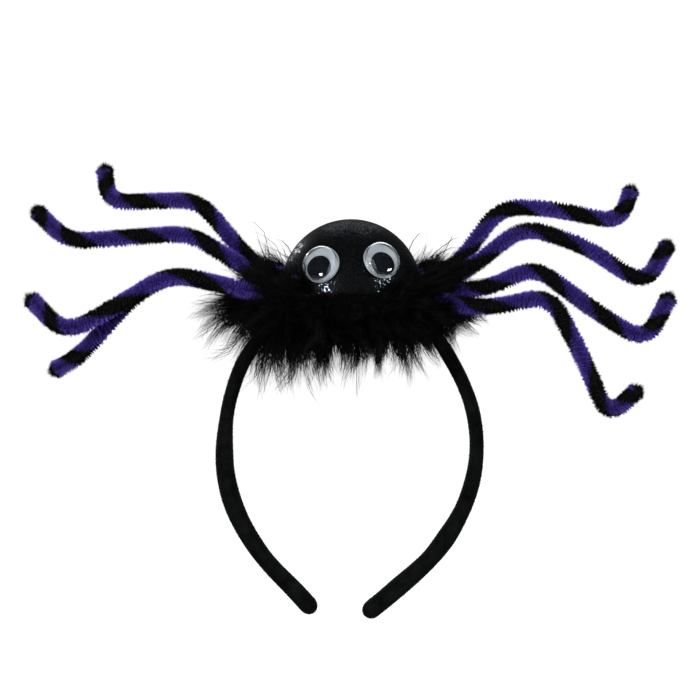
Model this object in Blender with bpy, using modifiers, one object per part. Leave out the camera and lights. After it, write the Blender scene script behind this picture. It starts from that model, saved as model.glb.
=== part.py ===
"""Spider headband: a padded open hoop that carries a half-ball spider body.

The body has a ring of feathery fur round its foot, eight bent legs, each of two
fluffy stems twisted together, and two stick-on eyes with loose rolling pupils.
All sizes are in metres. The origin is the inner crown of the hoop, where it sits
on a head; +Z is up, the spider faces -Y and +X is to the right of its viewer.
"""

import math
import random

import bmesh
import bpy
from mathutils import Matrix, Vector

# Clear air kept between two pieces that touch on the real headband.
GAP = 0.0003

# Padded hoop: an oval section swept along an open ring, with rounded tips.
BAND_THICK = 0.0073
BAND_DEPTH = 0.0112
BAND_HALF_WIDTH = 0.0633
BAND_HEIGHT = 0.1580
BAND_SIDES = 10
BAND_STATIONS = 40

# Centre line of the hoop: how far below the crown, and how far out to each side.
# The drop is a share of BAND_HEIGHT, the two reaches are shares of BAND_HALF_WIDTH.
BAND_STEPS = (
    # drop, left, right
    (0.023, 0.32, 0.32),
    (0.094, 0.63, 0.60),
    (0.200, 0.84, 0.79),
    (0.330, 0.96, 0.94),
    (0.458, 1.00, 0.99),
    (0.587, 0.98, 0.95),
    (0.715, 0.88, 0.83),
    (0.844, 0.67, 0.60),
    (0.960, 0.40, 0.28),
    (1.000, 0.31, 0.17),
)

# Half-ball body of firm foam under stretch cloth.
BODY_RADIUS = 0.0350
BODY_SEGMENTS = 28
BODY_RINGS = 7

# Fur ring round the foot of the body: a solid core with tapering locks.
FUR_TUCK = 0.0030
FUR_WIDTH = 0.0230
FUR_INNER = BODY_RADIUS - FUR_TUCK
FUR_OUTER = BODY_RADIUS + FUR_WIDTH
FUR_TOP_FRONT = 0.0060
FUR_TOP_SIDE = 0.0005
FUR_BOTTOM_FRONT = -0.0220
FUR_BOTTOM_SIDE = -0.0130
FUR_MAJOR = 34
FUR_MINOR = 10
FUR_LOCK = 0.0150
FUR_DROOP = 0.0032
FUR_SEED = 11

# How long the locks are round the ring, as shares of FUR_LOCK. The azimuth is
# measured from the front towards the viewer's right.
FUR_LOCK_STEPS = (
    # azimuth in degrees, share
    (-180.0, 0.75),
    (-90.0, 1.00),
    (-40.0, 1.15),
    (0.0, 0.65),
    (35.0, 0.85),
    (90.0, 0.55),
    (180.0, 0.75),
)

# Legs: a black and a purple stem twisted into one rope of this width.
LEG_WIDTH = 0.0085
LEG_PITCH = 0.0370
LEG_TOE_PITCH = 0.0190
LEG_TOE_LENGTH = 0.0200
LEG_TURN_STEP = 40.0
LEG_BEND = 0.0110
LEG_LINE_STEP = 0.0015
LEG_REACH = 0.1600
LEG_ROOT_RISE = 0.0058
LEG_ROOT_DEPTH = 0.0080
LEG_ROOT_AZIMUTHS = {"rear": 40.0, "mid_rear": 14.0, "mid_front": -14.0, "front": -40.0}
LEG_CLEARANCE = 0.0005
LEG_CUT_LENGTH = 0.0700
LEG_CUT_STEP = 0.0060

# Each leg: where its root sits, the pitch of its twist as a share of LEG_PITCH, and
# how far it is turned at its root, in degrees. Then its corners past the root: how far
# out to its side, how far above the foot of the body and how far to the rear, all as
# shares of LEG_REACH.
LEGS = {
    "left_1": ("rear", 0.96, 300.0, (
        ("shoulder", 0.245, 0.012, 0.145),
        ("thigh", 0.335, 0.084, 0.170),
        ("knee", 0.484, 0.256, 0.220),
        ("ankle", 0.778, 0.239, 0.285),
        ("toe", 0.790, 0.345, 0.295),
    )),
    "left_2": ("mid_rear", 0.97, 160.0, (
        ("shoulder", 0.310, 0.046, 0.050),
        ("thigh", 0.412, 0.111, 0.062),
        ("knee", 0.510, 0.166, 0.088),
        ("ankle", 0.895, 0.132, 0.130),
        ("toe", 0.990, 0.228, 0.138),
    )),
    "left_3": ("front", 1.16, 165.0, (
        ("shoulder", 0.310, 0.013, -0.138),
        ("thigh", 0.416, 0.045, -0.163),
        ("knee", 0.549, 0.079, -0.188),
        ("shin", 0.678, 0.000, -0.206),
        ("ankle", 0.866, -0.106, -0.213),
        ("toe", 0.968, 0.003, -0.213),
    )),
    "left_4": ("mid_front", 1.20, 275.0, (
        ("shoulder", 0.320, -0.006, -0.050),
        ("thigh", 0.422, 0.033, -0.069),
        ("knee", 0.553, 0.061, -0.088),
        ("shin", 0.666, -0.003, -0.100),
        ("ankle", 0.843, -0.199, -0.100),
        ("toe", 0.915, -0.236, -0.106),
    )),
    "right_1": ("rear", 1.00, 65.0, (
        ("shoulder", 0.258, 0.010, 0.145),
        ("thigh", 0.345, 0.063, 0.170),
        ("knee", 0.474, 0.232, 0.220),
        ("shin", 0.626, 0.226, 0.250),
        ("ankle", 0.863, 0.175, 0.285),
        ("toe", 0.900, 0.277, 0.295),
    )),
    "right_2": ("mid_rear", 1.30, 175.0, (
        ("shoulder", 0.277, 0.008, 0.050),
        ("thigh", 0.378, 0.061, 0.063),
        ("knee", 0.540, 0.188, 0.088),
        ("shin", 0.732, 0.124, 0.110),
        ("ankle", 0.929, -0.006, 0.125),
        ("toe", 1.000, 0.121, 0.138),
    )),
    "right_3": ("mid_front", 0.91, 350.0, (
        ("shoulder", 0.322, 0.003, -0.050),
        ("thigh", 0.431, 0.015, -0.063),
        ("knee", 0.562, 0.087, -0.088),
        ("shin", 0.767, -0.063, -0.106),
        ("ankle", 0.906, -0.145, -0.125),
        ("toe", 0.973, -0.007, -0.125),
    )),
    "right_4": ("front", 1.09, 345.0, (
        ("shoulder", 0.298, -0.028, -0.138),
        ("thigh", 0.423, -0.032, -0.163),
        ("knee", 0.603, 0.014, -0.200),
        ("shin", 0.698, -0.164, -0.238),
        ("ankle", 0.777, -0.350, -0.275),
        ("toe", 0.862, -0.266, -0.281),
    )),
}

# Stick-on eyes: a white backing disc, a clear cap and a loose black pupil.
EYE_DIAMETER = 0.0182
EYE_BACK_THICK = 0.0008
EYE_COVER_HEIGHT = 0.0044
EYE_COVER_WALL = 0.00045
EYE_SIDE_HEIGHT = 0.0020
EYE_RIM_WIDTH = 0.0002
EYE_RIM_HEIGHT = 0.0006
EYE_SEGMENTS = 24
PUPIL_DIAMETER = 0.0119
PUPIL_THICK = 0.0008

# Where each eye sits on the body, and which way its pupil has rolled.
EYES = (
    # side, azimuth from the front, height angle, pupil's roll from straight down
    ("left", -26.4, 27.2, -20.0),
    ("right", 28.0, 30.4, 0.0),
)

BODY_FOOT = BAND_THICK + GAP
PARTS = "spider_headband"
CUTTERS = "cutters"


def clear_scene():
    """Remove whatever the file holds, so that the script can run again."""
    for obj in list(bpy.data.objects):
        bpy.data.objects.remove(obj, do_unlink=True)
    for group in list(bpy.data.collections):
        bpy.data.collections.remove(group)


def new_collection(name):
    """Return a new collection under the scene's own."""
    group = bpy.data.collections.new(name)
    bpy.context.scene.collection.children.link(group)
    return group


def new_material(name, colour, roughness, alpha=1.0):
    """Return a plain surface with a colour and a roughness."""
    mat = bpy.data.materials.new(name)
    mat.use_nodes = True
    shader = mat.node_tree.nodes["Principled BSDF"]
    shader.inputs["Base Color"].default_value = (*colour, 1.0)
    shader.inputs["Roughness"].default_value = roughness
    shader.inputs["Metallic"].default_value = 0.0
    shader.inputs["Alpha"].default_value = alpha
    return mat


def adopt(obj, name, group, mat=None):
    """Name an object, give it its material and move it to its collection."""
    obj.name = name
    obj.data.name = name
    for old in list(obj.users_collection):
        old.objects.unlink(obj)
    bpy.data.collections[group].objects.link(obj)
    if mat:
        obj.data.materials.clear()
        obj.data.materials.append(mat)
    if group == CUTTERS:
        obj.hide_render = True
        obj.display_type = "WIRE"
    return obj


def section_curve(name, points):
    """Return a closed flat curve that other curves sweep as their section."""
    data = bpy.data.curves.new(name, "CURVE")
    data.dimensions = "2D"
    data.fill_mode = "NONE"
    line = data.splines.new("POLY")
    line.points.add(len(points) - 1)
    for dot, (u, v) in zip(line.points, points):
        dot.co = (u, v, 0.0, 1.0)
    line.use_cyclic_u = True
    return adopt(bpy.data.objects.new(name, data), name, CUTTERS)


def sweep(name, route, section, tilts=None, radii=None, flat=False):
    """Return a curve that carries a section along a route."""
    data = bpy.data.curves.new(name, "CURVE")
    data.dimensions = "2D" if flat else "3D"
    data.twist_mode = "MINIMUM"
    data.bevel_mode = "OBJECT"
    data.bevel_object = section
    data.use_fill_caps = True
    line = data.splines.new("POLY")
    line.points.add(len(route) - 1)
    for index, (dot, place) in enumerate(zip(line.points, route)):
        dot.co = (*place, 1.0)
        dot.tilt = tilts[index] if tilts else 0.0
        dot.radius = radii[index] if radii else 1.0
    obj = bpy.data.objects.new(name, data)
    bpy.context.scene.collection.objects.link(obj)
    return obj


def as_mesh(curve, split="BEAUTY"):
    """Turn a swept curve into a welded mesh of triangles and remove the curve."""
    bpy.context.view_layer.update()
    seen = curve.evaluated_get(bpy.context.evaluated_depsgraph_get())
    mesh = bpy.data.meshes.new_from_object(seen)
    bm = bmesh.new()
    bm.from_mesh(mesh)
    bmesh.ops.remove_doubles(bm, verts=bm.verts, dist=0.00002)
    bmesh.ops.recalc_face_normals(bm, faces=bm.faces)
    bmesh.ops.triangulate(bm, faces=bm.faces, quad_method=split)
    bm.to_mesh(mesh)
    bm.free()
    obj = bpy.data.objects.new(curve.name, mesh)
    obj.matrix_world = curve.matrix_world
    bpy.context.scene.collection.objects.link(obj)
    bpy.data.objects.remove(curve, do_unlink=True)
    return obj


def smooth_line(points, count):
    """Return evenly spaced places on a smooth line through the points."""
    ends = [points[0] * 2.0 - points[1], *points, points[-1] * 2.0 - points[-2]]
    fine = []
    for a, b, c, d in zip(ends, ends[1:], ends[2:], ends[3:]):
        for step in range(24):
            t = step / 24.0
            fine.append(0.5 * (2.0 * b + (c - a) * t
                               + (2.0 * a - 5.0 * b + 4.0 * c - d) * t ** 2
                               + (3.0 * b - 3.0 * c + d - a) * t ** 3))
    fine.append(points[-1])
    return even_line(fine, count)


def even_line(fine, count):
    """Return places at even distances along a fine line."""
    runs = [0.0]
    for a, b in zip(fine, fine[1:]):
        runs.append(runs[-1] + (b - a).length)
    places = []
    for index in range(count):
        want = runs[-1] * index / (count - 1)
        places.append(place_at(fine, runs, want))
    return places


def place_at(fine, runs, want):
    """Return the place that lies a given distance along a fine line."""
    for index in range(1, len(fine)):
        if runs[index] >= want or index == len(fine) - 1:
            span = max(runs[index] - runs[index - 1], 1e-9)
            share = min(max((want - runs[index - 1]) / span, 0.0), 1.0)
            return fine[index - 1].lerp(fine[index], share)
    return fine[-1]


def rounded_line(corners, bend):
    """Return a fine line through corners, each rounded off over a bend length."""
    fine = [corners[0]]
    for before, corner, after in zip(corners, corners[1:], corners[2:]):
        inward = before - corner
        outward = after - corner
        start = corner + inward.normalized() * min(bend, 0.48 * inward.length)
        end = corner + outward.normalized() * min(bend, 0.48 * outward.length)
        for step in range(13):
            t = step / 12.0
            fine.append(start * (1 - t) ** 2 + corner * 2 * t * (1 - t) + end * t ** 2)
    fine.append(corners[-1])
    dense = []
    for a, b in zip(fine, fine[1:]):
        parts = max(int((b - a).length / LEG_LINE_STEP), 1)
        dense.extend(a.lerp(b, step / parts) for step in range(parts))
    dense.append(corners[-1])
    return dense


def blend(table, at):
    """Read a two-column table at a value, with straight lines between its rows."""
    for (low, first), (high, second) in zip(table, table[1:]):
        if at <= high:
            return first + (second - first) * max(at - low, 0.0) / (high - low)
    return table[-1][1]


def band_route():
    """Return the hoop's centre line in its own plane, from left tip to right tip."""
    crown = BAND_THICK / 2.0
    left = []
    right = []
    for drop, reach_left, reach_right in BAND_STEPS:
        height = crown - drop * BAND_HEIGHT
        left.append(Vector((-reach_left * BAND_HALF_WIDTH, height, 0.0)))
        right.append(Vector((reach_right * BAND_HALF_WIDTH, height, 0.0)))
    line = smooth_line([*reversed(left), Vector((0.0, crown, 0.0)), *right], 400)
    places = even_line(line, BAND_STATIONS)
    # Extra places near each tip let the section shrink to a rounded end.
    runs = [0.0]
    for a, b in zip(line, line[1:]):
        runs.append(runs[-1] + (b - a).length)
    round_length = BAND_THICK * 0.55
    near = [share * round_length for share in (0.0, 0.08, 0.3, 0.65, 1.0)]
    start = [place_at(line, runs, run) for run in near]
    end = [place_at(line, runs, runs[-1] - run) for run in reversed(near)]
    middle = places[2:-2]
    radii = [math.sqrt(1.0 - (1.0 - run / round_length) ** 2) for run in near]
    radii = [max(value, 0.22) for value in radii]
    return start + middle + end, radii + [1.0] * len(middle) + radii[::-1]


def oval(width, depth, sides):
    """Return the points of an oval section."""
    turns = [2.0 * math.pi * (index + 0.5) / sides for index in range(sides)]
    grow = 1.0 / math.cos(math.pi / sides)
    return [(grow * width / 2 * math.cos(t), grow * depth / 2 * math.sin(t)) for t in turns]


def make_band(mat):
    """Model the padded hoop, and a slightly larger copy that cuts its seat in the fur."""
    route, radii = band_route()
    pieces = []
    for name, extra in (("band", 0.0), ("band_cutter", 2.0 * (GAP + 0.0001))):
        section = section_curve(name + "_section",
                                oval(BAND_THICK + extra, BAND_DEPTH + extra, BAND_SIDES))
        curve = sweep(name, route, section, radii=radii, flat=True)
        curve.rotation_euler = (math.pi / 2.0, 0.0, 0.0)
        obj = as_mesh(curve)
        group = PARTS if name == "band" else CUTTERS
        pieces.append(adopt(obj, name, group, mat))
    return pieces[1]


def half_strand(radius, gap, flip):
    """Return the section of one stem: half of a round rope, flat on its inner side."""
    start = math.asin(gap / radius)
    turns = [start + (math.pi - 2.0 * start) * index / 4.0 for index in range(5)]
    side = -1.0 if flip else 1.0
    return [(side * radius * math.cos(t), side * radius * math.sin(t)) for t in turns]


def leg_line(name):
    """Return the fine centre line of one leg, from its root inside the body."""
    place, _, _, rows = LEGS[name]
    side = -1.0 if name.startswith("left") else 1.0
    angle = math.radians(LEG_ROOT_AZIMUTHS[place])
    depth = BODY_RADIUS - LEG_ROOT_DEPTH
    root = Vector((side * depth * math.cos(angle), depth * math.sin(angle),
                   BODY_FOOT + LEG_ROOT_RISE))
    mouth = Vector((side * BODY_RADIUS * math.cos(angle), BODY_RADIUS * math.sin(angle),
                    BODY_FOOT + LEG_ROOT_RISE))
    corners = [root, mouth]
    for _, out, rise, rear in rows:
        corners.append(Vector((side * out * LEG_REACH, rear * LEG_REACH,
                               BODY_FOOT + rise * LEG_REACH)))
    return rounded_line(corners, LEG_BEND)


def twist_stations(name, line):
    """Return places and twist angles along a leg, a fixed turn apart."""
    _, share, start, _ = LEGS[name]
    runs = [0.0]
    turns = [0.0]
    total = sum((b - a).length for a, b in zip(line, line[1:]))
    for a, b in zip(line, line[1:]):
        length = (b - a).length
        near_toe = runs[-1] > total - LEG_TOE_LENGTH
        runs.append(runs[-1] + length)
        pitch = LEG_TOE_PITCH if near_toe else LEG_PITCH * share
        turns.append(turns[-1] + 2.0 * math.pi * length / pitch)
    count = max(int(turns[-1] / math.radians(LEG_TURN_STEP)), 4)
    places = []
    tilts = []
    for index in range(count + 1):
        want = turns[-1] * index / count
        places.append(place_at(line, turns, want))
        tilts.append(math.radians(start) + want)
    return places, tilts


def make_legs(black, purple):
    """Model the legs as pairs of twisted stems, and the channels that they lie in."""
    radius = LEG_WIDTH / 2.0
    sections = {
        "black": section_curve("stem_section_black", half_strand(radius, GAP / 2.0, False)),
        "purple": section_curve("stem_section_purple", half_strand(radius, GAP / 2.0, True)),
    }
    sides = 10
    wide = (radius + LEG_CLEARANCE) * 2.0
    channel = section_curve("leg_channel_section", oval(wide, wide, sides))
    cutters = []
    for name in LEGS:
        line = leg_line(name)
        places, tilts = twist_stations(name, line)
        for colour, section in sections.items():
            node = f"leg_{name}_{colour}"
            obj = as_mesh(sweep(node, places, section, tilts=tilts), "FIXED")
            adopt(obj, node, PARTS, black if colour == "black" else purple)
        start = line[0] + (line[0] - line[1]).normalized() * GAP
        runs = [0.0]
        for a, b in zip(line, line[1:]):
            runs.append(runs[-1] + (b - a).length)
        steps = int(LEG_CUT_LENGTH / LEG_CUT_STEP)
        path = [start] + [place_at(line, runs, LEG_CUT_LENGTH * (index + 1) / steps)
                          for index in range(steps)]
        cutter = as_mesh(sweep(f"leg_channel_{name}", path, channel))
        cutters.append(adopt(cutter, f"leg_channel_{name}", CUTTERS))
    return cutters


def cut(obj, cutter):
    """Take a cutter's shape out of an object."""
    tool = obj.modifiers.new("cut_" + cutter.name, "BOOLEAN")
    tool.operation = "DIFFERENCE"
    tool.solver = "EXACT"
    tool.object = cutter


def make_body(mat, cutters):
    """Model the half ball, with a socket for each leg's root."""
    data = bpy.data.meshes.new("body_profile")
    bm = bmesh.new()
    rim = [bm.verts.new((BODY_RADIUS * math.sin(t), 0.0, BODY_RADIUS * math.cos(t)))
           for t in (math.pi / 2.0 * index / BODY_RINGS for index in range(BODY_RINGS + 1))]
    rim.append(bm.verts.new((0.0, 0.0, 0.0)))
    for a, b in zip(rim, rim[1:]):
        bm.edges.new((a, b))
    bm.to_mesh(data)
    bm.free()
    obj = bpy.data.objects.new("body_dome", data)
    bpy.context.scene.collection.objects.link(obj)
    obj.location = (0.0, 0.0, BODY_FOOT)
    turn = obj.modifiers.new("turn", "SCREW")
    turn.steps = BODY_SEGMENTS
    turn.render_steps = BODY_SEGMENTS
    turn.use_merge_vertices = True
    turn.merge_threshold = 0.00001
    turn.use_normal_calculate = True
    adopt(obj, "body_dome", PARTS, mat)
    for cutter in cutters:
        cut(obj, cutter)


def fur_shape(place, lock=0.0):
    """Return a place on the fur's core, pushed out by a lock's length."""
    azimuth, section = place
    # The core is taller at the front and the rear than over the hoop at the sides.
    share = 0.5 + 0.5 * math.cos(2.0 * azimuth)
    top = FUR_TOP_SIDE + (FUR_TOP_FRONT - FUR_TOP_SIDE) * share
    bottom = FUR_BOTTOM_SIDE + (FUR_BOTTOM_FRONT - FUR_BOTTOM_SIDE) * share
    half_wide = (FUR_OUTER - FUR_INNER) / 2.0
    half_high = (top - bottom) / 2.0
    middle = (FUR_OUTER + FUR_INNER) / 2.0
    out = middle + (half_wide + lock) * math.cos(section)
    rise = (top + bottom) / 2.0 + (half_high + lock) * math.sin(section)
    rise -= FUR_DROOP * (max(out - FUR_OUTER, 0.0) / FUR_LOCK) ** 2
    return Vector((out * math.sin(azimuth), -out * math.cos(azimuth), BODY_FOOT + rise))


def keep_largest(obj):
    """Remove the loose crumbs that a cut leaves beside the main body."""
    bm = bmesh.new()
    bm.from_mesh(obj.data)
    left = set(bm.verts)
    islands = []
    while left:
        stack = [left.pop()]
        island = set(stack)
        while stack:
            vert = stack.pop()
            for edge in vert.link_edges:
                other = edge.other_vert(vert)
                if other in left:
                    left.discard(other)
                    island.add(other)
                    stack.append(other)
        islands.append(island)
    islands.sort(key=len, reverse=True)
    for island in islands[1:]:
        bmesh.ops.delete(bm, geom=list(island), context="VERTS")
    bm.to_mesh(obj.data)
    bm.free()


def angle_gap(first, second):
    """Return the turn from the second angle to the first, the short way round."""
    return (first - second + math.pi) % (2.0 * math.pi) - math.pi


def carries_lock(azimuth, section, index):
    """Tell whether a face of the fur's core grows a lock."""
    column, row = divmod(index, FUR_MINOR)
    over_band = abs(math.cos(azimuth)) < 0.30
    low = math.radians(-20.0 if over_band else -120.0)
    return (column + row) % 2 == 0 and low < section < math.radians(45.0)


def grow_lock(bm, face, layers, length, lean):
    """Draw one face of the core out into a lock that narrows to its tip."""
    by_azimuth, by_section = layers
    azimuth, section = face_spot(face, layers)
    for narrow, reach in ((0.62, 0.45), (0.22, 1.0)):
        face = bmesh.ops.extrude_discrete_faces(bm, faces=[face])["faces"][0]
        for vert in face.verts:
            own = azimuth + angle_gap(vert[by_azimuth], azimuth) * narrow + lean * reach
            vert[by_azimuth] = own
            vert[by_section] = section + angle_gap(vert[by_section], section) * narrow
            vert.co = fur_shape((own, vert[by_section]), length * reach)


def face_spot(face, layers):
    """Return the middle of a face as an azimuth round the body and a section angle."""
    by_azimuth, by_section = layers
    first = face.verts[0]
    azimuth = sum(angle_gap(v[by_azimuth], first[by_azimuth]) for v in face.verts) / 4.0
    section = sum(angle_gap(v[by_section], first[by_section]) for v in face.verts) / 4.0
    azimuth = angle_gap(azimuth + first[by_azimuth], 0.0)
    return azimuth, angle_gap(section + first[by_section], 0.0)


def make_fur(mat, cutters):
    """Model the fur ring with its locks, cut clear of the body, the hoop and the legs."""
    rng = random.Random(FUR_SEED)
    middle = (FUR_OUTER + FUR_INNER) / 2.0
    bpy.ops.mesh.primitive_torus_add(major_segments=FUR_MAJOR, minor_segments=FUR_MINOR,
                                     major_radius=middle,
                                     minor_radius=(FUR_OUTER - FUR_INNER) / 2.0)
    obj = adopt(bpy.context.active_object, "fur_trim", PARTS, mat)
    bm = bmesh.new()
    bm.from_mesh(obj.data)
    layers = (bm.verts.layers.float.new("azimuth"), bm.verts.layers.float.new("section"))
    for vert in bm.verts:
        x, y, z = vert.co
        vert[layers[0]] = math.atan2(x, -y)
        vert[layers[1]] = math.atan2(z, math.hypot(x, y) - middle)
    chosen = []
    for face in bm.faces:
        azimuth, section = face_spot(face, layers)
        if carries_lock(azimuth, section, face.index):
            length = FUR_LOCK * blend(FUR_LOCK_STEPS, math.degrees(azimuth))
            length *= rng.uniform(0.7, 1.3) * (0.7 if section > 0.0 else 1.0)
            chosen.append((face, length, rng.uniform(-0.05, 0.05)))
    for vert in bm.verts:
        vert.co = fur_shape((vert[layers[0]], vert[layers[1]]))
    for face, length, lean in chosen:
        grow_lock(bm, face, layers, length, lean)
    bmesh.ops.triangulate(bm, faces=bm.faces)
    bm.to_mesh(obj.data)
    bm.free()
    bpy.ops.mesh.primitive_uv_sphere_add(
        segments=BODY_SEGMENTS, ring_count=BODY_RINGS * 2,
        radius=(BODY_RADIUS + GAP) / math.cos(math.pi / BODY_SEGMENTS),
        location=(0.0, 0.0, BODY_FOOT))
    body_cutter = adopt(bpy.context.active_object, "body_cutter", CUTTERS)
    for cutter in [body_cutter, *cutters]:
        cut(obj, cutter)
    bpy.context.view_layer.update()
    seen = obj.evaluated_get(bpy.context.evaluated_depsgraph_get())
    mesh = bpy.data.meshes.new_from_object(seen)
    obj.modifiers.clear()
    obj.data = mesh
    mesh.name = "fur_trim"
    keep_largest(obj)


def eye_frame(azimuth, height):
    """Return a frame on the body: +Z out of the cloth, +X along it to the right."""
    turn = math.radians(azimuth)
    lift = math.radians(height)
    out = Vector((math.sin(turn) * math.cos(lift), -math.cos(turn) * math.cos(lift),
                  math.sin(lift)))
    across = Vector((math.cos(turn), math.sin(turn), 0.0))
    up = out.cross(across)
    frame = Matrix((across, up, out)).transposed().to_4x4()
    frame.translation = Vector((0.0, 0.0, BODY_FOOT)) + out * (BODY_RADIUS + GAP)
    return frame


def turned(name, profile, steps, group, mat):
    """Return a turned piece from its profile, as (radius, height) places."""
    data = bpy.data.meshes.new(name)
    bm = bmesh.new()
    dots = [bm.verts.new((radius, 0.0, height)) for radius, height in profile]
    for a, b in zip(dots, dots[1:]):
        bm.edges.new((a, b))
    bm.to_mesh(data)
    bm.free()
    obj = bpy.data.objects.new(name, data)
    bpy.context.scene.collection.objects.link(obj)
    turn = obj.modifiers.new("turn", "SCREW")
    turn.steps = steps
    turn.render_steps = steps
    turn.use_merge_vertices = True
    turn.merge_threshold = 0.00001
    return adopt(obj, name, group, mat)


def cover_profile():
    """Return the clear cap's profile, from its top down the outer side and back up inside."""
    rim = EYE_DIAMETER / 2.0
    outer = rim - EYE_RIM_WIDTH
    inner = outer - EYE_COVER_WALL
    crown = EYE_COVER_HEIGHT - EYE_SIDE_HEIGHT
    arc = [math.pi / 2.0 * index / 4.0 for index in range(5)]
    outside = [(outer * math.sin(t), EYE_SIDE_HEIGHT + crown * math.cos(t)) for t in arc]
    inside = [(inner * math.sin(t), EYE_SIDE_HEIGHT + (crown - EYE_COVER_WALL) * math.cos(t))
              for t in reversed(arc)]
    outside[0] = (0.0, outside[0][1])
    inside[-1] = (0.0, inside[-1][1])
    foot = [(outer, EYE_RIM_HEIGHT), (rim, EYE_RIM_HEIGHT), (rim, 0.0), (inner, 0.0)]
    return outside + foot + inside


def make_eyes(white, clear, black):
    """Model each eye on the body, its pupil on an empty at the eye's own axis."""
    inner = EYE_DIAMETER / 2.0 - EYE_RIM_WIDTH - EYE_COVER_WALL
    throw = inner - GAP - PUPIL_DIAMETER / 2.0
    for side, azimuth, height, roll in EYES:
        frame = eye_frame(azimuth, height)
        bpy.ops.mesh.primitive_cylinder_add(vertices=EYE_SEGMENTS, radius=EYE_DIAMETER / 2.0,
                                            depth=EYE_BACK_THICK)
        back = adopt(bpy.context.active_object, f"eye_back_{side}", PARTS, white)
        back.matrix_world = frame @ Matrix.Translation((0.0, 0.0, EYE_BACK_THICK / 2.0))
        seat = EYE_BACK_THICK + GAP
        cover = turned(f"eye_cover_{side}", cover_profile(), EYE_SEGMENTS, PARTS, clear)
        cover.matrix_world = frame @ Matrix.Translation((0.0, 0.0, seat))
        axis = bpy.data.objects.new(f"pupil_axis_{side}", None)
        bpy.data.collections[PARTS].objects.link(axis)
        axis.matrix_world = frame @ Matrix.Translation((0.0, 0.0, seat + PUPIL_THICK / 2.0))
        bpy.ops.mesh.primitive_cylinder_add(vertices=EYE_SEGMENTS, depth=PUPIL_THICK,
                                            radius=PUPIL_DIAMETER / 2.0)
        pupil = adopt(bpy.context.active_object, f"pupil_{side}", PARTS, black)
        pupil.parent = axis
        turn = math.radians(roll)
        pupil.location = (throw * math.sin(turn), -throw * math.cos(turn), 0.0)


def main():
    """Build the whole headband."""
    clear_scene()
    new_collection(PARTS)
    new_collection(CUTTERS)
    velvet = new_material("band_velvet", (0.012, 0.012, 0.014), 0.9)
    cloth = new_material("body_cloth", (0.015, 0.018, 0.020), 0.45)
    fur = new_material("fur_black", (0.020, 0.020, 0.022), 0.8)
    black = new_material("stem_black", (0.010, 0.010, 0.012), 0.85)
    purple = new_material("stem_purple", (0.055, 0.025, 0.230), 0.85)
    white = new_material("eye_white", (0.80, 0.83, 0.86), 0.35)
    clear = new_material("eye_clear", (0.90, 0.93, 0.95), 0.05, alpha=0.25)
    pupil = new_material("pupil_black", (0.008, 0.010, 0.014), 0.25)
    band_cutter = make_band(velvet)
    channels = make_legs(black, purple)
    make_body(cloth, channels)
    make_fur(fur, [band_cutter, *channels])
    make_eyes(white, clear, pupil)


if __name__ == "__main__":
    main()
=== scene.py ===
"""Spider headband, dressed for the studio.

A padded velvet hoop carries a half-ball spider: glitter cloth over foam, a ring of
black marabou, eight legs of twisted chenille stems and two stick-on rolling eyes.
Everything is in metres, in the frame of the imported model: +Z up, the spider faces -Y.
"""

import logging
import math
from dataclasses import dataclass
from enum import Enum

import bpy
import numpy as np
from mathutils import Matrix, Vector


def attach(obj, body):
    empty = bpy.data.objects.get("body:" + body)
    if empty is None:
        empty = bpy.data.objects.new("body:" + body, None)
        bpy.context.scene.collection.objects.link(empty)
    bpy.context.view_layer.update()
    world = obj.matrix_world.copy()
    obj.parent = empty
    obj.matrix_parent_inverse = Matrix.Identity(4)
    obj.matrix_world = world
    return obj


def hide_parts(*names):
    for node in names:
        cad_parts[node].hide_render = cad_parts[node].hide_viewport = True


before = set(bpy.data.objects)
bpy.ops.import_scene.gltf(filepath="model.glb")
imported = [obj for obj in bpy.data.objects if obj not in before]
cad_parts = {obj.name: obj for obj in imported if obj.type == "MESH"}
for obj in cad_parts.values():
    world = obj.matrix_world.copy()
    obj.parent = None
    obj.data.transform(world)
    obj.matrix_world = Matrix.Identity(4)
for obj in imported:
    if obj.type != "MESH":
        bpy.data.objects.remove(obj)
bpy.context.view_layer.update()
LOG = logging.getLogger("spider_headband")
Piece = bpy.types.Object
Material = bpy.types.Material
Tree = bpy.types.NodeTree
Socket = bpy.types.NodeSocket

# Sizes shared with the solids, in metres.
GAP = 0.0003
WELD = 0.00001
BAND_THICK = 0.0073
BODY_RADIUS = 0.0350
BODY_FOOT = BAND_THICK + GAP
LEG_REACH = 0.1600


class Stem(Enum):
    """The two chenille stems of a leg, by the colour of their pile."""

    BLACK = "black"
    PURPLE = "purple"


class Side(Enum):
    """The viewer's left or right."""

    LEFT = -1.0
    RIGHT = 1.0


def linear(code: str) -> tuple[float, float, float, float]:
    """Turn an sRGB hex colour, with its hash, into linear red, green, blue and alpha."""
    channels = [int(code[index:index + 2], 16) / 255.0 for index in (1, 3, 5)]
    red, green, blue = (c / 12.92 if c <= 0.04045 else ((c + 0.055) / 1.055) ** 2.4 for c in channels)
    return (red, green, blue, 1.0)


def add_node(tree: Tree, kind: str, settings: dict | None = None,
             links: dict | None = None) -> bpy.types.Node:
    """Add one node to a tree.

    Args:
        tree: the node tree.
        kind: the node's Blender type name.
        settings: properties by name, and socket values by socket name or number.
        links: the output socket that feeds each input, by input name or number.

    Returns:
        The new node.
    """
    node = tree.nodes.new(kind)
    for key, value in (settings or {}).items():
        if isinstance(key, str) and hasattr(node, key):
            setattr(node, key, value)
        else:
            node.inputs[key].default_value = value
    for key, source in (links or {}).items():
        tree.links.new(source, node.inputs[key])
    return node


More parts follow.
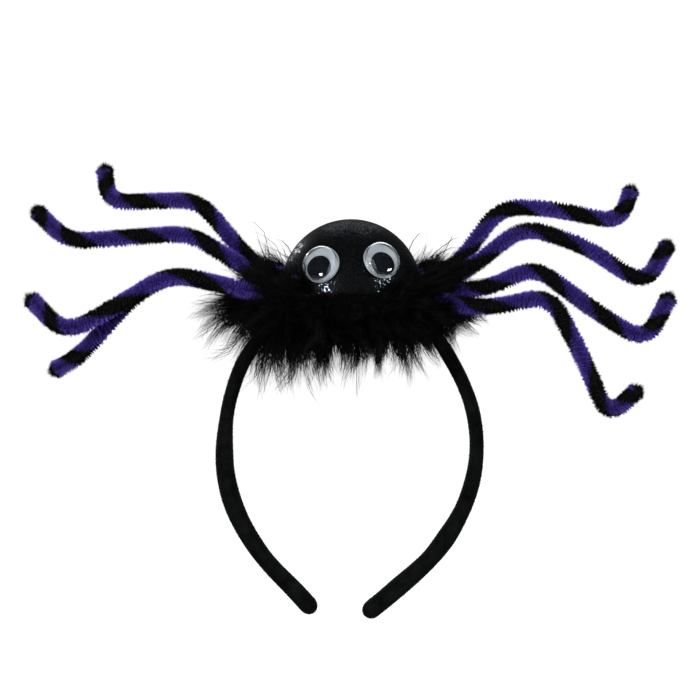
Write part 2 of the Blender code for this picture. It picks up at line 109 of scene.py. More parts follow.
def new_material(name: str, sockets: dict) -> tuple:
    """Make a material.

    Args:
        name: its name.
        sockets: its surface shader's values, by socket name.

    Returns:
        The material, its node tree and its surface shader.
    """
    mat = bpy.data.materials.new(name)
    mat.use_nodes = True
    shader = mat.node_tree.nodes["Principled BSDF"]
    for socket, value in sockets.items():
        shader.inputs[socket].default_value = value
    return mat, mat.node_tree, shader


def noise(tree: Tree, scale: float, detail: float = 3.0) -> Socket:
    """Return the value of a noise in object coordinates, with scale bumps to a metre."""
    place = add_node(tree, "ShaderNodeTexCoord").outputs["Object"]
    return add_node(tree, "ShaderNodeTexNoise", {"Scale": scale, "Detail": detail},
                    {"Vector": place}).outputs["Fac"]


def maths(tree: Tree, operation: str, *values: object) -> Socket:
    """Return the result of a sum whose inputs are each a number or a socket."""
    numbers = {index: value for index, value in enumerate(values) if isinstance(value, float)}
    links = {index: value for index, value in enumerate(values) if index not in numbers}
    return add_node(tree, "ShaderNodeMath", {"operation": operation, **numbers}, links).outputs[0]


def colour_ramp(tree: Tree, value: Socket, *stops: tuple) -> None:
    """Colour the surface by a value.

    Args:
        tree: the material's node tree.
        value: the socket that gives the value.
        stops: a position and a hex colour each, from low to high.
    """
    ramp = add_node(tree, "ShaderNodeValToRGB", None, {0: value})
    elements = ramp.color_ramp.elements
    elements[0].position = stops[0][0]
    elements[1].position = stops[-1][0]
    for position, _ in stops[1:-1]:
        elements.new(position)
    for element, (_, code) in zip(elements, stops):
        element.color = linear(code)
    tree.links.new(ramp.outputs[0], tree.nodes["Principled BSDF"].inputs["Base Color"])


def deselect_all() -> None:
    """Leave object mode with nothing selected."""
    if bpy.context.object and bpy.context.object.mode != "OBJECT":
        bpy.ops.object.mode_set(mode="OBJECT")
    bpy.ops.object.select_all(action="DESELECT")


def select_only(obj: Piece) -> None:
    """Select one object and make it the active one."""
    deselect_all()
    obj.select_set(True)
    bpy.context.view_layer.objects.active = obj


def toward(turn: float, lift: float) -> Vector:
    """Return the way to an angle from the front and one above the level, in degrees."""
    turn, lift = math.radians(turn), math.radians(lift)
    return Vector((math.sin(turn) * math.cos(lift), -math.cos(turn) * math.cos(lift), math.sin(lift)))


def edit_all(obj: Piece, *steps: tuple) -> None:
    """Run steps on the whole of a piece in edit mode.

    Args:
        obj: the piece.
        steps: an operator and its settings each.
    """
    select_only(obj)
    bpy.ops.object.mode_set(mode="EDIT")
    for operator, settings in steps:
        bpy.ops.mesh.select_all(action="SELECT")
        operator(**settings)
    bpy.ops.object.mode_set(mode="OBJECT")


def settle(obj: Piece, name: str, angle: float | None = None) -> Piece:
    """Apply an object's modifiers and its place, and name it.

    Args:
        obj: the piece.
        name: its new name.
        angle: the angle in degrees above which its edges stay sharp, where it is smooth.

    Returns:
        The same piece, at the origin, with its place in its mesh.
    """
    select_only(obj)
    for modifier in list(obj.modifiers):
        bpy.ops.object.modifier_apply(modifier=modifier.name)
    bpy.ops.object.transform_apply(location=True, rotation=True, scale=True)
    obj.name = name
    obj.data.name = name
    if angle:
        bpy.ops.object.shade_smooth_by_angle(angle=math.radians(angle))
    return obj


def hand_in(piece: Piece, finish: Material, body: str = "root", node: str = "") -> None:
    """Finish a piece, hide the solid that it stands for and hang it on its body.

    Args:
        piece: the piece.
        finish: its one material.
        body: the body that carries it.
        node: the solid that it replaces, if any.
    """
    piece.data.materials.clear()
    piece.data.materials.append(finish)
    if node:
        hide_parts(node)
    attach(piece, body)
    LOG.info("%s: %d faces", piece.name, len(piece.data.polygons))


def unit(vectors: np.ndarray) -> np.ndarray:
    """Scale each row to length one."""
    lengths = np.linalg.norm(vectors, axis=-1, keepdims=True)
    return vectors / np.maximum(lengths, 1e-12)


def place_along(line: list[Vector], runs: list[float], want: float) -> Vector:
    """Return the place on a fine line at a value, by the rising value at each of its places."""
    for index in range(1, len(line)):
        if runs[index] >= want or index == len(line) - 1:
            span = max(runs[index] - runs[index - 1], 1e-9)
            share = min(max((want - runs[index - 1]) / span, 0.0), 1.0)
            return line[index - 1].lerp(line[index], share)
    return line[-1]


def sweep(name: str, route: list, section: list, radii: list[float]) -> Piece:
    """Sweep a section along a route.

    Args:
        name: the piece's name.
        route: places along the centre line.
        section: the section's places, as (across, up).
        radii: how much the section is scaled at each place.

    Returns:
        A closed, welded mesh with its faces out.
    """
    curves = []
    for start, dots, sizes in ((bpy.ops.curve.primitive_bezier_circle_add, section, [1.0] * len(section)),
                               (bpy.ops.curve.primitive_nurbs_path_add, route, radii)):
        deselect_all()
        start(radius=1.0)
        curve = bpy.context.object
        curve.data.splines.remove(curve.data.splines[0])
        spline = curve.data.splines.new("POLY")
        spline.points.add(len(dots) - 1)
        for dot, place, size in zip(spline.points, dots, sizes):
            dot.co = (*place, 1.0) if len(place) == 3 else (*place, 0.0, 1.0)
            dot.radius = size
        curves.append(curve)
    rim, path = curves
    rim.data.splines[0].use_cyclic_u = True
    path.data.dimensions = "3D"
    path.data.twist_mode = "MINIMUM"
    path.data.bevel_mode = "OBJECT"
    path.data.bevel_object = rim
    path.data.use_fill_caps = True
    select_only(path)
    bpy.ops.object.convert(target="MESH")
    piece = bpy.context.object
    bpy.data.objects.remove(rim, do_unlink=True)
    edit_all(piece, (bpy.ops.mesh.remove_doubles, {"threshold": WELD}),
             (bpy.ops.mesh.normals_make_consistent, {"inside": False}))
    return settle(piece, name)


def fibre_pattern(steps: int) -> tuple[np.ndarray, np.ndarray]:
    """Model one flat fibre that narrows to its tip, once, for all its copies.

    Args:
        steps: how many lengths it bends in.

    Returns:
        Its corners as (along, across) shares, and its faces.
    """
    deselect_all()
    if steps == 1:
        bpy.ops.mesh.primitive_circle_add(vertices=3, radius=1.0, fill_type="NGON")
    else:
        bpy.ops.mesh.primitive_grid_add(x_subdivisions=steps, y_subdivisions=1, size=1.0)
        edit_all(bpy.context.object, (bpy.ops.transform.translate, {"value": (0.5, 0.0, 0.0)}))
    chip = bpy.context.object
    corners = np.array([vert.co[:2] for vert in chip.data.vertices])
    faces = np.array([list(face.vertices) for face in chip.data.polygons])
    bpy.data.objects.remove(chip, do_unlink=True)
    if steps == 1:
        corners = np.stack([(corners[:, 1] + 0.5) / 1.5, corners[:, 0] / math.sqrt(3.0)], axis=1)
    else:
        corners[:, 1] *= (1.0 - corners[:, 0] ** 3) * 0.94 + 0.06
    return corners, faces


def lay_fibres(name: str, paths: np.ndarray, widths: np.ndarray, shades: np.ndarray, seed: int) -> Piece:
    """Lay a copy of the fibre pattern along each path, all in one mesh.

    Args:
        name: the piece's name.
        paths: places along each fibre, as (fibre, step, xyz).
        widths: each fibre's width at its root.
        shades: each fibre's own shade, from 0 to 1.
        seed: the seed of the way that the flat sides face.

    Returns:
        One mesh of all the fibres, with the attributes shade and along.
    """
    count, places, _ = paths.shape
    corners, faces = fibre_pattern(places - 1)
    rng = np.random.default_rng(seed)
    heading = unit(paths[:, -1] - paths[:, 0])
    across = unit(np.cross(heading, rng.normal(size=(count, 3))))
    step = np.rint(corners[:, 0] * (places - 1)).astype(int)
    verts = paths[:, step, :] + (across * widths[:, None])[:, None, :] * corners[None, :, 1, None]
    verts = verts.reshape(-1, 3)
    size = len(corners)
    loops = (faces[None, :, :] + (np.arange(count) * size)[:, None, None])
    loops = loops.reshape(-1, faces.shape[1])
    mesh = bpy.data.meshes.new(name)
    mesh.from_pydata(verts.tolist(), [], loops.tolist())
    shade = mesh.attributes.new("shade", "FLOAT", "POINT")
    shade.data.foreach_set("value", np.repeat(shades, size).astype(np.float32))
    # along runs from 0 at each fibre's root to 1 at its tip; the finishes use it to paint shade at the root
    # and light at the tip.
    along = mesh.attributes.new("along", "FLOAT", "POINT")
    along.data.foreach_set("value", np.tile(corners[:, 0], count).astype(np.float32))
    obj = bpy.data.objects.new(name, mesh)
    bpy.context.scene.collection.objects.link(obj)
    return obj


@dataclass(frozen=True)
class PileFinish:
    """Dyed pile or down: soft fibres, painted darker at the root as shade where they crowd and lighter at the
    tip as light that they catch.

    Chenille, marabou and velvet are all ends of fibre, so they are rough and have a
    soft bloom at grazing angles. Each fibre's own shade varies a little.
    """

    name: str
    root: str
    middle: str
    tip: str
    roughness: float = 0.8
    sheen: float = 0.05
    level: float = 0.08

    def build(self) -> Material:
        """Make the material, coloured by each fibre's own shade and, from the along attribute, by painted
        shade at its root and painted light at its tip.
        """
        mat, tree, _ = new_material(self.name, {
            "Roughness": self.roughness, "Specular IOR Level": self.level,
            "Sheen Weight": self.sheen, "Sheen Roughness": 0.4})
        shade, along = (add_node(tree, "ShaderNodeAttribute", {"attribute_name": word}).outputs["Fac"]
                        for word in ("shade", "along"))
        # Painted shade and light: along runs from 0 at a fibre's root to 1 at its tip and moves the colour
        # from the dark root to the light tip; shade adds each fibre's own random tone.
        mixed = maths(tree, "MULTIPLY_ADD", along, 0.6, maths(tree, "MULTIPLY", shade, 0.4))
        colour_ramp(tree, mixed, (0.0, self.root), (0.5, self.middle), (1.0, self.tip))
        return mat


@dataclass(frozen=True)
class VelvetFinish:
    """Woven polyester velvet over padding: a short, dense pile with a faint rib."""

    name: str = "black_velvet_ribbon"
    low: str = "#020202"
    high: str = "#111313"
    pile_mm: float = 0.5
    brushed: float = 160.0

    def build(self) -> Material:
        """Make the velvet: fine noise for the pile, with a soft bloom at its edges."""
        mat, tree, shader = new_material(self.name, {
            "Roughness": 0.9, "Specular IOR Level": 0.05, "Sheen Weight": 0.05, "Sheen Roughness": 0.35})
        # One bump for each pile_mm of cloth, finer than the eye can part.
        pile = noise(tree, 1000.0 / self.pile_mm, 4.0)
        both = maths(tree, "MULTIPLY", pile, noise(tree, self.brushed))
        colour_ramp(tree, both, (0.12, self.low), (0.45, self.high))
        bump = add_node(tree, "ShaderNodeBump", {"Strength": 0.55, "Distance": 0.0004}, {"Height": pile})
        tree.links.new(bump.outputs[0], shader.inputs["Normal"])
        return mat


@dataclass(frozen=True)
class GlitterClothFinish:
    """Stretch knit printed with fine glitter: black cloth, with flecks that flash.

    Each fleck is a tiny flat mirror that lies at its own slight angle, so only those
    that face a lamp and the viewer shine. About two cells in three hold a fleck.
    """

    name: str = "black_glitter_jersey"
    cloth: str = "#040505"
    bloom: str = "#c8d2cc"
    fleck: str = "#59626c"
    fleck_mm: float = 0.52
    fleck_share: float = 0.42
    bare_share: float = 0.35
    tilt: float = 0.25
    knit: float = 1400.0

    def build(self) -> Material:
        """Make the cloth, mixed with the flecks cell by cell."""
        mat, tree, cloth = new_material(self.name, {
            "Base Color": linear(self.cloth), "Roughness": 0.5, "Specular IOR Level": 0.04,
            "Sheen Weight": 0.03, "Sheen Roughness": 0.3, "Sheen Tint": linear(self.bloom)})
        place = add_node(tree, "ShaderNodeTexCoord").outputs["Object"]
        cells = add_node(tree, "ShaderNodeTexVoronoi", {"Scale": 1000.0 / self.fleck_mm},
                         {"Vector": place}).outputs
        weave = add_node(tree, "ShaderNodeBump", {"Strength": 0.35, "Distance": 0.0002},
                         {"Height": noise(tree, self.knit)})
        tree.links.new(weave.outputs[0], cloth.inputs["Normal"])
        # Each cell's colour turns its fleck's normal a little, at random.
        facing = cells["Color"]
        for settings in ({"operation": "SUBTRACT", 1: (0.5, 0.5, 0.5)},
                         {"operation": "SCALE", "Scale": self.tilt}, {"operation": "ADD"},
                         {"operation": "NORMALIZE"}):
            links = {0: facing}
            if settings["operation"] == "ADD":
                links[1] = add_node(tree, "ShaderNodeNewGeometry").outputs["Normal"]
            facing = add_node(tree, "ShaderNodeVectorMath", settings, links).outputs[0]
        fleck = add_node(tree, "ShaderNodeBsdfPrincipled",
                         {"Base Color": linear(self.fleck), "Metallic": 1.0, "Roughness": 0.13},
                         {"Normal": facing})
        parts = add_node(tree, "ShaderNodeSeparateColor", None, {0: cells["Color"]})
        mask = maths(tree, "MULTIPLY", maths(tree, "GREATER_THAN", parts.outputs[0], self.bare_share),
                     maths(tree, "LESS_THAN", cells["Distance"], self.fleck_share))
        mixed = add_node(tree, "ShaderNodeMixShader", None,
                         {0: mask, 1: cloth.outputs[0], 2: fleck.outputs[0]})
        tree.links.new(mixed.outputs[0], tree.nodes["Material Output"].inputs["Surface"])
        return mat


@dataclass(frozen=True)
class PlasticFinish:
    """Moulded or stamped plastic of one colour, with a trace of mottling."""

    name: str
    colour: str
    second: str
    roughness: float
    level: float = 0.5
    clear: bool = False
    mottling: float = 220.0

    def build(self) -> Material:
        """Make the plastic: opaque, or clear as a thin vacuum-formed cap."""
        mat, tree, shader = new_material(self.name, {
            "Roughness": self.roughness, "Specular IOR Level": self.level})
        colour_ramp(tree, noise(tree, self.mottling), (0.35, self.colour), (0.65, self.second))
        if self.clear:
            shader.inputs["Transmission Weight"].default_value = 1.0
            # The real cap is a far thinner shell than the solid, so it bends light less.
            shader.inputs["IOR"].default_value = 1.32
        return mat


@dataclass
class Hoop:
    """The padded band: foam on a plastic strip, sewn into a velvet sleeve."""

    half_width: float = 0.0633
    height: float = 0.1580
    thick: float = BAND_THICK
    depth: float = 0.0112
    steps: tuple = (
        # drop as a share of the height, left and right reach as shares of the half width
        (0.023, 0.32, 0.32), (0.094, 0.63, 0.60), (0.200, 0.84, 0.79), (0.330, 0.96, 0.94),
        (0.458, 1.004, 0.998), (0.587, 0.992, 0.972), (0.715, 0.895, 0.858),
        (0.844, 0.702, 0.643), (0.960, 0.440, 0.335),)
    # The left and the right tip, each as its drop and its reach.
    ends: tuple = ((1.027, 0.292), (1.038, 0.106))
    # The padding is fuller towards the tips, by drop as a share of the height.
    drops: tuple = (0.0, 0.40, 0.50, 0.60, 0.70, 0.78, 0.85, 0.94, 1.02)
    full_left: tuple = (1.0, 1.0, 1.28, 1.34, 1.38, 1.32, 1.22, 1.28, 1.28)
    full_right: tuple = (1.0, 1.0, 1.02, 1.12, 1.20, 1.38, 1.30, 1.36, 1.34)
    tip_length: float = 0.0052
    stations: int = 150
    sides: int = 24
    pile: int = 22000

    def route(self) -> list[Vector]:
        """Return the fine centre line, from the left tip over the crown to the right."""
        crown = self.thick / 2.0
        lines = []
        for index, side in enumerate(Side):
            rows = [(step[0], step[1 + index]) for step in self.steps] + [self.ends[index]]
            lines.append([Vector((side.value * reach * self.half_width, 0.0, crown - drop * self.height))
                          for drop, reach in rows])
        points = [*reversed(lines[0]), Vector((0.0, 0.0, crown)), *lines[1]]
        ends = [points[0] * 2.0 - points[1], *points, points[-1] * 2.0 - points[-2]]
        fine = []
        for a, b, c, d in zip(ends, ends[1:], ends[2:], ends[3:]):
            for step in range(24):
                t = step / 24.0
                fine.append(0.5 * (2.0 * b + (c - a) * t + (2.0 * a - 5.0 * b + 4.0 * c - d) * t ** 2
                                   + (3.0 * b - 3.0 * c + d - a) * t ** 3))
        return [*fine, points[-1]]

    def fullness(self, place: Vector) -> float:
        """Return how full the padding is at a place on the hoop."""
        drop = (self.thick / 2.0 - place[2]) / self.height
        return float(np.interp(drop, self.drops, self.full_left if place[0] < 0.0 else self.full_right))

    def build(self, velvet: Material, pile: Material) -> None:
        """Build the sleeve and its pile, in place of the plain band.

        Args:
            velvet: the cloth of the sleeve.
            pile: the fibres that stand on it.
        """
        fine = self.route()
        runs = [0.0]
        for a, b in zip(fine, fine[1:]):
            runs.append(runs[-1] + (b - a).length)
        total = runs[-1]
        tip = self.tip_length
        wants = [tip * share for share in (0.0, 0.04, 0.12, 0.25, 0.45, 0.7, 1.0)]
        middle = np.linspace(tip, total - tip, self.stations)[1:-1].tolist()
        wants = wants + middle + [total - want for want in reversed(wants)]
        route = [place_along(fine, runs, want) for want in wants]
        radii = []
        for want, place in zip(wants, route):
            near = min(want, total - want)
            rounded = math.sqrt(max(1.0 - (1.0 - min(near / tip, 1.0)) ** 2, 0.0))
            # Padding under cloth is never quite even, so the section swells a little.
            uneven = 1.0 + 0.012 * math.sin(want * 190.0) + 0.010 * math.sin(want * 77.0 + 1.0)
            radii.append(max(rounded, 0.12) * uneven * self.fullness(place))
        turns = [2.0 * math.pi * index / self.sides for index in range(self.sides)]
        # The pile makes up the last three hundredths of the section.
        section = [(self.depth / 2.0 * 0.97 * math.cos(t), self.thick / 2.0 * 0.97 * math.sin(t))
                   for t in turns]
        sleeve = sweep("velvet_sleeve", route, section, radii)
        # The fuller padding shows from the front alone: the band keeps its depth.
        for vert in sleeve.data.vertices:
            vert.co.y /= self.fullness(vert.co)
        hand_in(settle(sleeve, "velvet_sleeve", 60.0), velvet, node="band")
        hand_in(self.nap(sleeve), pile)

    def nap(self, sleeve: Piece) -> Piece:
        """Stand short pile evenly on the sleeve, leaning a little at random."""
        rng = np.random.default_rng(3)
        count = self.pile
        mesh = sleeve.data
        mesh.calc_loop_triangles()
        corners = np.array([[mesh.vertices[index].co for index in tri.vertices]
                            for tri in mesh.loop_triangles])
        cross = np.cross(corners[:, 1] - corners[:, 0], corners[:, 2] - corners[:, 0])
        area = np.linalg.norm(cross, axis=1)
        chosen = rng.choice(len(corners), size=count, p=area / area.sum())
        first = rng.uniform(size=(count, 1))
        second = rng.uniform(size=(count, 1))
        over = (first + second) > 1.0
        first = np.where(over, 1.0 - first, first)
        second = np.where(over, 1.0 - second, second)
        base = corners[chosen, 0]
        spots = base + first * (corners[chosen, 1] - base) + second * (corners[chosen, 2] - base)
        normals = unit(cross[chosen])
        length = rng.uniform(0.00035, 0.0008, size=(count, 1))
        heading = unit(normals + rng.normal(scale=0.45, size=normals.shape))
        paths = np.stack([spots - normals * 0.0001, spots + heading * length], axis=1)
        widths = rng.uniform(0.00012, 0.0002, size=count)
        return lay_fibres("velvet_nap", paths, widths, rng.uniform(size=count), 4)


@dataclass
class Body:
    """The spider's half ball: a foam form under tight glitter jersey."""

    radius: float = BODY_RADIUS
    foot: float = BODY_FOOT

    def build(self, cloth: Material) -> None:
        """Build the half ball from a sphere cut flat, in place of the plain one."""
        deselect_all()
        bpy.ops.mesh.primitive_uv_sphere_add(segments=96, ring_count=64, radius=self.radius,
                                             location=(0.0, 0.0, self.foot))
        ball = bpy.context.object
        edit_all(ball, (bpy.ops.mesh.bisect, {"plane_co": (0.0, 0.0, self.foot), "use_fill": True,
                                              "plane_no": (0.0, 0.0, 1.0), "clear_inner": True}))
        rim = ball.modifiers.new("turned_under", "BEVEL")
        rim.width = 0.0012
        rim.segments = 3
        rim.limit_method = "ANGLE"
        rim.angle_limit = math.radians(50.0)
        hand_in(settle(ball, "glitter_half_ball", 50.0), cloth, node="body_dome")


@dataclass
class Marabou:
    """The ring of black marabou: plumes wound on a cord, glued round the body's foot."""

    inner: float = BODY_RADIUS - 0.0030
    outer: float = BODY_RADIUS + 0.0230
    top_front: float = 0.0060
    top_side: float = 0.0005
    bottom_front: float = -0.0220
    bottom_side: float = -0.0130
    foot: float = BODY_FOOT
    fill: int = 260
    fill_barbs: int = 34
    locks: int = 190
    lock_barbs: int = 56
    strands: int = 80
    strand_barbs: int = 16
    bends: int = 4
    # How far the plumes reach past the core round the ring, by azimuth from the front.
    azimuths: tuple = (-180.0, -135.0, -100.0, -75.0, -50.0, -30.0, -15.0, 0.0, 15.0, 45.0, 75.0,
                       100.0, 135.0, 180.0)
    reaches: tuple = (0.012, 0.012, 0.016, 0.018, 0.021, 0.018, 0.014, 0.010, 0.010, 0.012, 0.010,
                      0.008, 0.011, 0.012)
    longest: float = 0.0170
    furthest: float = 0.0710

    def spot(self, azimuth: np.ndarray, section: np.ndarray, reach: np.ndarray) -> np.ndarray:
        """Return places on the core's skin, or past it by a reach.

        Args:
            azimuth: angles round the ring from the front, in radians.
            section: angles round the core's section, 0 outwards and pi/2 up.
            reach: metres past the skin, or negative inside it.

        Returns:
            The places, one to a row.
        """
        share = 0.5 + 0.5 * np.cos(2.0 * azimuth)
        top = self.top_side + (self.top_front - self.top_side) * share
        bottom = self.bottom_side + (self.bottom_front - self.bottom_side) * share
        half_wide = (self.outer - self.inner) / 2.0
        half_high = (top - bottom) / 2.0
        out = (self.outer + self.inner) / 2.0 + (half_wide + reach) * np.cos(section)
        rise = (top + bottom) / 2.0 + (half_high + reach) * np.sin(section)
        return np.stack([out * np.sin(azimuth), -out * np.cos(azimuth), self.foot + rise], axis=-1)

    def build(self, down: Material) -> None:
        """Build the wound core and its plumes, of the given down, in place of the plain ring."""
        # The core has no along attribute, so it shows the down's root colour: painted shade in the dense
        # middle of the ring.
        hand_in(self.core(), down, node="fur_trim")
        pieces = [self.tufts("marabou_front", -90.0, 90.0, 21), self.tufts("marabou_rear", 90.0, 270.0, 22)]
        for lay, low, high, seed in ((self.wisps, 42.0, 140.0, 31), (self.veil, 34.0, 122.0, 33),
                                     (self.brow, 34.0, 112.0, 36)):
            pieces.append(lay("left", (-high, -low), seed))
            pieces.append(lay("right", (low, high), seed + 1))
        for piece in (*pieces, self.collar()):
            hand_in(piece, down)

    def core(self) -> Piece:
        """Build the dense middle of the ring, where the plumes hide one another."""
        deselect_all()
        middle = (self.outer + self.inner) / 2.0
        bpy.ops.mesh.primitive_torus_add(major_segments=96, minor_segments=24, major_radius=middle,
                                         minor_radius=(self.outer - self.inner) / 2.0)
        ring = bpy.context.object
        for vert in ring.data.vertices:
            x, y, z = vert.co
            azimuth = math.atan2(x, -y)
            section = math.atan2(z, math.hypot(x, y) - middle)
            lumps = 0.0008 * math.sin(azimuth * 23.0 + section * 3.0) * math.sin(section * 5.0)
            # The middle presses on the ball, and lies deeper under the plumes outside.
            sunk = lumps - 0.0035 * (0.5 + 0.5 * math.cos(section))
            vert.co = self.spot(np.array([azimuth]), np.array([section]), np.array([sunk]))[0]
        return settle(ring, "marabou_core", 60.0)

    def tufts(self, name: str, low: float, high: float, seed: int) -> Piece:
        """Lay the barbs of half the ring, drawn together into plumes.

        Args:
            name: the piece's name.
            low: where the half starts, in degrees from the front.
            high: where it ends.
            seed: the seed of its chance.

        Returns:
            One mesh of all its barbs.
        """
        rng = np.random.default_rng(seed)
        kind = np.repeat(np.arange(3), (self.fill, self.locks, self.strands))
        plumes = len(kind)

        def own(*values: float) -> np.ndarray:
            """Return each plume's value, from those of fill, locks and strands."""
            return np.array(values)[kind]

        turns = rng.uniform(math.radians(low), math.radians(high), size=plumes)
        turns = (turns + math.pi) % (2.0 * math.pi) - math.pi
        sections = np.radians(rng.uniform(own(-125.0, -118.0, -105.0), own(85.0, 25.0, 10.0)))
        reach = np.interp(np.degrees(turns), self.azimuths, self.reaches)
        reach = reach * rng.uniform(own(0.25, 0.75, 1.15), own(0.70, 1.35, 1.60))
        # On top they lie low, and lowest in front of the eyes.
        low_top = 0.6 - 0.42 * np.clip(np.cos(turns), 0.0, 1.0) ** 2
        reach = reach * np.where(np.sin(sections) > 0.3, low_top, 1.0)
        reach = np.minimum(reach, self.longest + 0.012 * np.abs(np.sin(turns)))
        # Over the hoop's arms the plumes are parted and stay short.
        over_arm = (np.abs(np.cos(turns)) < 0.22) & (sections < math.radians(-25.0))
        reach = np.where(over_arm, 0.002, reach)
        pick = np.repeat(np.arange(plumes), own(self.fill_barbs, self.lock_barbs, self.strand_barbs))
        count = len(pick)
        tight = own(1.0, 0.6, 0.25)[pick]
        off_turn = rng.normal(scale=0.045, size=count) * tight
        off_section = rng.normal(scale=0.17, size=count) * tight
        share = np.where(kind[pick] == 1, rng.beta(1.7, 1.0, size=count), rng.beta(2.4, 0.9, size=count))
        turn = turns[pick]
        section = sections[pick]
        root = self.spot(turn + off_turn, section + off_section, -0.006 + 0.002 * rng.normal(size=count))
        # A lock's barbs draw together towards its tip.
        gather = own(0.6, 0.34, 0.3)[pick]
        tip_turn = turn + off_turn * gather + rng.normal(scale=0.010, size=count)
        tip_section = section + off_section * gather + rng.normal(scale=0.035, size=count)
        tip = self.spot(tip_turn, tip_section, reach[pick] * (0.2 + 0.95 * share))
        length = np.linalg.norm(tip - root, axis=1, keepdims=True)
        curl = rng.normal(scale=0.12, size=(plumes, 3))[pick] * length
        curl += rng.normal(scale=0.04, size=(count, 3)) * length
        swing = rng.normal(scale=0.16, size=(plumes, 3))[pick] * length
        times = np.linspace(0.0, 1.0, self.bends + 1)[None, :, None]
        paths = root[:, None, :] * (1.0 - times) + tip[:, None, :] * times
        paths = paths + curl[:, None, :] * np.sin(math.pi * times)
        paths = paths + swing[:, None, :] * times ** 2
        paths[:, :, 2] -= (0.18 * length * times[:, :, 0] ** 2)
        # To the front and the rear the longest barbs curl back towards the ring.
        far = np.maximum(np.abs(paths[:, :, 1]) - self.furthest, 0.0)
        paths[:, :, 1] -= np.sign(paths[:, :, 1]) * far * 0.55
        widths = rng.uniform(0.00011, 0.00020, size=count) * own(1.6, 1.0, 1.0)[pick]
        return lay_fibres(name, paths, widths, rng.uniform(size=count), seed + 7)

    def wisps(self, side: str, turns: tuple[float, float], seed: int) -> Piece:
        """Lay the wisps that rise at one side and half hide the roots of the legs.

        Args:
            side: left or right.
            turns: where they start and end round the ring, in degrees from the front.
            seed: the seed of its chance.

        Returns:
            One mesh of its barbs, with a few long strays that cross.
        """
        rng = np.random.default_rng(seed)
        plumes, strays = 96, 150
        total = plumes + strays
        stray = np.arange(total) >= plumes
        turn = np.radians(rng.uniform(*turns, size=total))
        rise = np.radians(np.where(stray, rng.uniform(20.0, 68.0, size=total),
                                   rng.uniform(4.0, 46.0, size=total)))
        long = np.where(stray, rng.uniform(0.022, 0.042, size=total), rng.uniform(0.010, 0.020, size=total))
        away = turn + rng.normal(scale=0.28, size=total)
        return self.brush(f"marabou_wisps_{side}", rng, turn, away, rise, long,
                          np.where(stray, 1, 40), (-0.001, 0.006), (-0.002, 0.005),
                          np.where(stray, 2.3, 1.0))

    def veil(self, side: str, turns: tuple[float, float], seed: int) -> Piece:
        """Lay the barbs that stand in front of the legs' roots, as wisps does its own."""
        rng = np.random.default_rng(seed)
        plumes = 130
        turn = np.radians(rng.uniform(*turns, size=plumes))
        # Behind the middle they stand taller, over the roots of the rear legs.
        rear = np.abs(turn) > math.radians(84.0)
        rise = np.radians(np.where(rear, rng.uniform(34.0, 68.0, size=plumes),
                                   rng.uniform(22.0, 66.0, size=plumes)))
        away = turn + np.sign(turn) * rng.uniform(-0.2, 0.9, size=plumes)
        long = rng.uniform(0.009, 0.016, size=plumes) * np.where(rear, 1.2, 1.0)
        return self.brush(f"marabou_veil_{side}", rng, turn, away, rise, long, 40,
                          (0.001, 0.015), (-0.001, 0.005))

    def brow(self, side: str, turns: tuple[float, float], seed: int) -> Piece:
        """Lay the short barbs over the places where the legs enter the ball, as wisps does."""
        rng = np.random.default_rng(seed)
        plumes = 100
        turn = np.radians(rng.uniform(*turns, size=plumes))
        rise = np.radians(rng.uniform(30.0, 74.0, size=plumes))
        away = turn + np.sign(turn) * rng.uniform(0.0, 0.8, size=plumes)
        long = rng.uniform(0.006, 0.010, size=plumes) * (1.0 + 0.5 * (np.abs(turn) > 1.0))
        return self.brush(f"marabou_brow_{side}", rng, turn, away, rise, long, 36,
                          (0.002, 0.008), (0.003, 0.007))

    def collar(self) -> Piece:
        """Lay the short barbs that stand up against the ball all round its foot."""
        rng = np.random.default_rng(35)
        plumes = 230
        turn = rng.uniform(-math.pi, math.pi, size=plumes)
        rise = np.radians(rng.uniform(40.0, 80.0, size=plumes))
        away = turn + rng.normal(scale=0.9, size=plumes)
        long = rng.uniform(0.0024, 0.0036, size=plumes) * (1.0 + 2.0 * np.abs(np.sin(turn)) ** 2)
        return self.brush("marabou_collar", rng, turn, away, rise, long, 26,
                          (0.001, 0.006), (-0.001, 0.001))

    def brush(self, name: str, rng: np.random.Generator, turn: np.ndarray, away: np.ndarray,
              rise: np.ndarray, long: np.ndarray, barbs: int | np.ndarray, off: tuple, up: tuple,
              thick: float | np.ndarray = 1.0) -> Piece:
        """Lay barbs that start near the ball's foot, each along its plume's heading.

        Args:
            name: the piece's name.
            rng: the source of chance.
            turn: each plume's azimuth from the front.
            away: the azimuth that it points to.
            rise: its angle above the level.
            long: its length.
            barbs: how many barbs it has.
            off: how far off the ball the barbs start, least and most.
            up: how far above its foot, least and most.
            thick: how much broader than the rest its barbs are.

        Returns:
            One mesh of the barbs.
        """
        pick = np.repeat(np.arange(len(turn)), barbs)
        count = len(pick)
        heading = np.stack([np.sin(away) * np.cos(rise), -np.cos(away) * np.cos(rise),
                            np.sin(rise)], axis=-1)
        own = turn[pick] + rng.normal(scale=0.05, size=count)
        start = BODY_RADIUS + rng.uniform(*off, size=count)
        height = self.foot + rng.uniform(*up, size=count)
        root = np.stack([start * np.sin(own), -start * np.cos(own), height], axis=-1)
        course = unit(heading[pick] + rng.normal(scale=0.10, size=(count, 3)))
        length = (long[pick] * rng.uniform(0.55, 1.1, size=count))[:, None]
        curl = rng.normal(scale=0.10, size=(len(turn), 3))[pick] * length
        times = np.linspace(0.0, 1.0, self.bends + 1)[None, :, None]
        paths = root[:, None, :] + (course * length)[:, None, :] * times
        paths = paths + curl[:, None, :] * np.sin(math.pi * times)
        paths[:, :, 2] -= 0.16 * length * times[:, :, 0] ** 2
        widths = rng.uniform(0.00014, 0.00024, size=count) * np.broadcast_to(thick, turn.shape)[pick]
        return lay_fibres(name, paths, widths, rng.uniform(size=count), 41)


